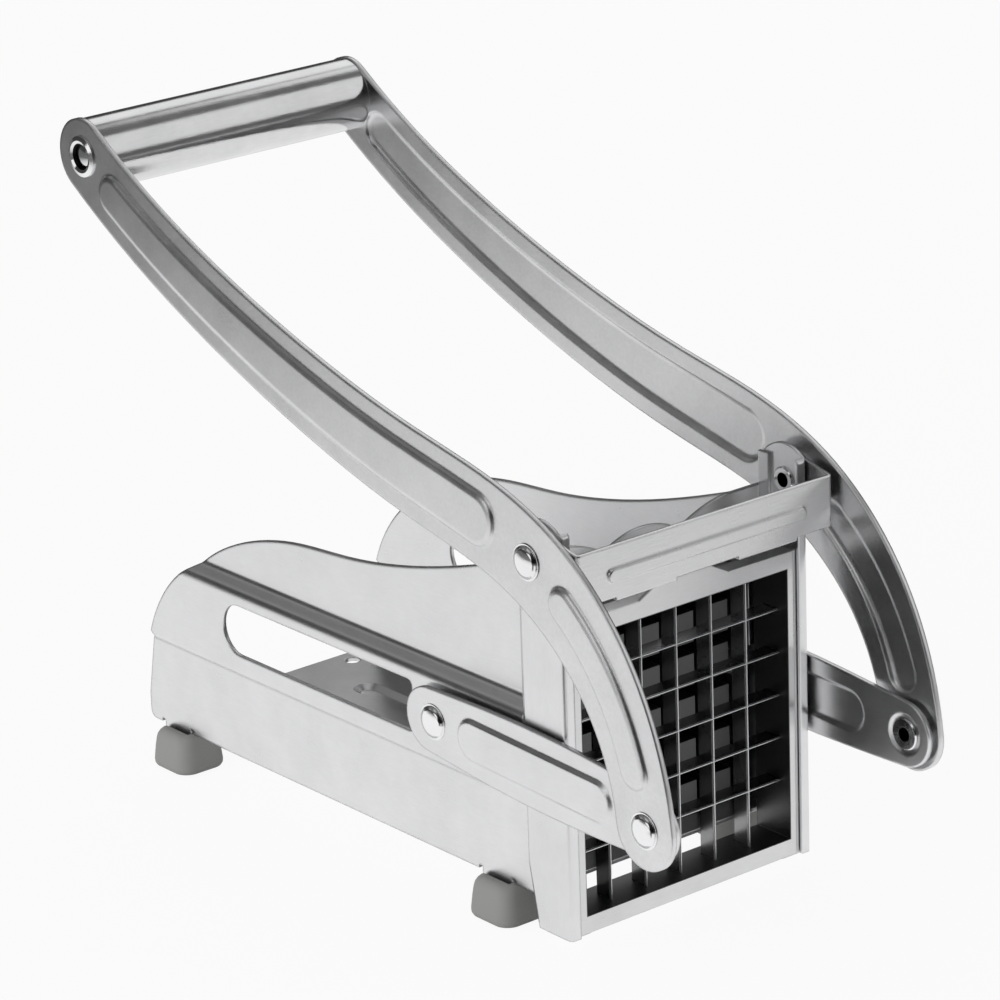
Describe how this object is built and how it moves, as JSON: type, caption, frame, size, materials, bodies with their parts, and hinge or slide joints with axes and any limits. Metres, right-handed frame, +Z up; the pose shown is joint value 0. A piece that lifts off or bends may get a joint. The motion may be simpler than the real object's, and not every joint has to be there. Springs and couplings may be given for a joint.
{
  "type": "french fry cutter",
  "caption": "Lever potato cutter in pressed stainless sheet: curved arms drive a fingered pusher along a trough through a square blade grid held by a swing-over bail.",
  "frame": {"origin": "on the table under the middle of the whole cutter's box", "axes": "+X to the right seen from the blades, +Y from the blades back along the trough to the grip, +Z up"},
  "size_m": [0.1036, 0.268, 0.1999],
  "materials": {
    "side_sheet": "satin rolled stainless sheet",
    "column_sheet": "satin rolled stainless sheet",
    "floor_sheet": "satin rolled stainless sheet",
    "hood_sheet": "satin rolled stainless sheet",
    "cassette_sheet": "satin stainless sheet with bright edges",
    "blade_steel": "polished strip with ground edges",
    "arm_sheet": "brushed stainless sheet with bright cut edges",
    "link_sheet": "brushed stainless sheet with bright cut edges",
    "bail_sheet": "satin stainless sheet",
    "carriage_sheet": "satin stainless sheet",
    "tube_steel": "stainless tube brushed round",
    "rivet_steel": "bright turned steel",
    "black_plastic": "satin moulded plastic",
    "black_nylon": "matt nylon",
    "grey_rubber": "matt moulded rubber"
  },
  "bodies": {
    "base": {"side_plate_left": "side_sheet", "side_plate_right": "side_sheet", "column_left": "column_sheet", "column_right": "column_sheet", "floor_plate": "floor_sheet", "hood": "hood_sheet", "foot_front_left": "grey_rubber", "foot_front_right": "grey_rubber", "foot_rear_left": "grey_rubber", "foot_rear_right": "grey_rubber", "cassette_frame": "cassette_sheet", "vertical_blades": "blade_steel", "horizontal_blades": "blade_steel", "cassette_rests": "column_sheet", "pivot_rivets": "rivet_steel", "pivot_washers": "black_nylon", "pivot_spacers": "rivet_steel"},
    "lever": {"arm_left": "arm_sheet", "arm_right": "arm_sheet", "handle_tube": "tube_steel", "tube_plugs": "rivet_steel", "joint_rivets": "rivet_steel", "joint_washers": "rivet_steel"},
    "links": {"link_left": "link_sheet", "link_right": "link_sheet", "rod_rivets": "rivet_steel"},
    "bail": {"latch_bail": "bail_sheet"},
    "pusher": {"finger_block": "black_plastic", "carriage": "carriage_sheet", "block_screws": "rivet_steel", "cross_rod": "rivet_steel", "rod_collars": "rivet_steel"}
  },
  "joints": [
    {"name": "lever_pivot", "type": "hinge", "parent": "base", "child": "lever", "pos_m": [0, -0.07695, 0.1139], "axis": [1, 0, 0], "range_deg": [-18, 70.8]},
    {"name": "link_pivot", "type": "hinge", "parent": "lever", "child": "links", "pos_m": [0, -0.12265, 0.0497], "axis": [1, 0, 0], "range_deg": [-71, 18.2]},
    {"name": "pusher_slide", "type": "slide", "parent": "base", "child": "pusher", "axis": [0, 1, 0], "range_m": [-0.02335, 0.09154]},
    {"name": "bail_pivot", "type": "hinge", "parent": "base", "child": "bail", "pos_m": [0, -0.07695, 0.1139], "axis": [1, 0, 0], "range_deg": [-100, 0]}
  ],
  "couplings": [
    {"joint": "link_pivot", "follows": "lever_pivot", "ratio": -1},
    {"joint": "pusher_slide", "follows": "lever_pivot", "m_per_rad": 0.074}
  ]
}
